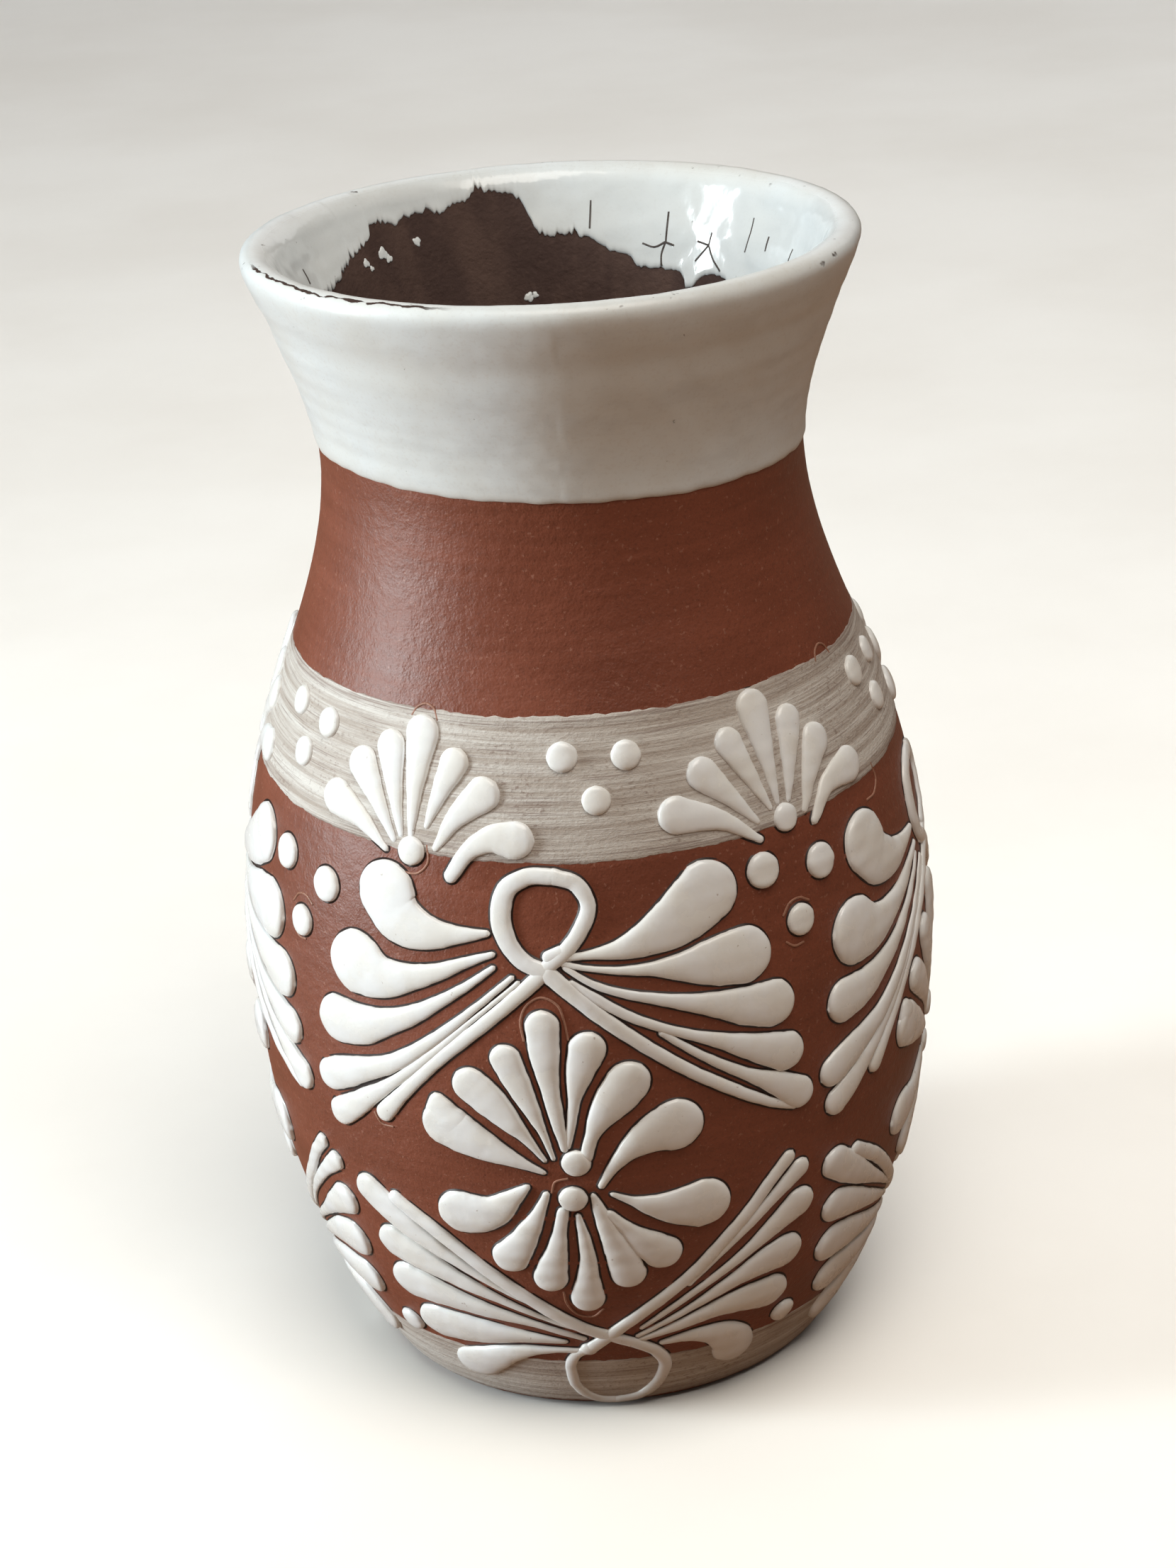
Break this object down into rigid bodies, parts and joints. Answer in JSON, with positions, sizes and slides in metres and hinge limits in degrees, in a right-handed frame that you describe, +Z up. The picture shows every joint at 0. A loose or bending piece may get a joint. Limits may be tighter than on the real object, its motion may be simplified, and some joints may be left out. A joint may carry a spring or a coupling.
{
  "type": "ornamental pottery vase",
  "caption": "Hollow brown earthenware vase with a full belly, narrow waist and flared white-glazed lip, pale washed bands, and bows, flowers and dots in thick white relief.",
  "frame": {"origin": "centre of the foot, on the plane that the vase stands on", "axes": "+Z up along the vase's axis; the side with the flower between two bows faces -Y"},
  "size_m": [0.1218, 0.1218, 0.2],
  "materials": {
    "brown_slip": "chocolate-brown slip under a thin satin glaze, bare and duller inside",
    "white_glaze": "thick glossy white tin glaze, slightly uneven, ragged where it ends inside",
    "pale_wash": "thin off-white wash brushed round the pot, streaky, with brown showing through",
    "white_relief": "thick white enamel piped in drops and strokes, rounded and glossy"
  },
  "bodies": {
    "root": {"clay_body": "brown_slip", "neck_glaze": "white_glaze", "shoulder_wash": "pale_wash", "foot_wash": "pale_wash", "shoulder_fan_1": "white_relief", "shoulder_fan_2": "white_relief", "shoulder_fan_3": "white_relief", "shoulder_fan_4": "white_relief", "shoulder_fan_5": "white_relief", "shoulder_dots_1": "white_relief", "shoulder_dots_2": "white_relief", "shoulder_dots_3": "white_relief", "shoulder_dots_4": "white_relief", "shoulder_dots_5": "white_relief", "upper_bow_1": "white_relief", "upper_bow_2": "white_relief", "upper_bow_3": "white_relief", "upper_bow_4": "white_relief", "belly_dots_1": "white_relief", "belly_dots_2": "white_relief", "belly_dots_3": "white_relief", "belly_dots_4": "white_relief", "flower_1": "white_relief", "flower_2": "white_relief", "flower_3": "white_relief", "flower_4": "white_relief", "lower_bow_1": "white_relief", "lower_bow_2": "white_relief", "lower_bow_3": "white_relief", "lower_bow_4": "white_relief", "foot_dot_1": "white_relief", "foot_dot_2": "white_relief", "foot_dot_3": "white_relief", "foot_dot_4": "white_relief"}
  },
  "joints": []
}
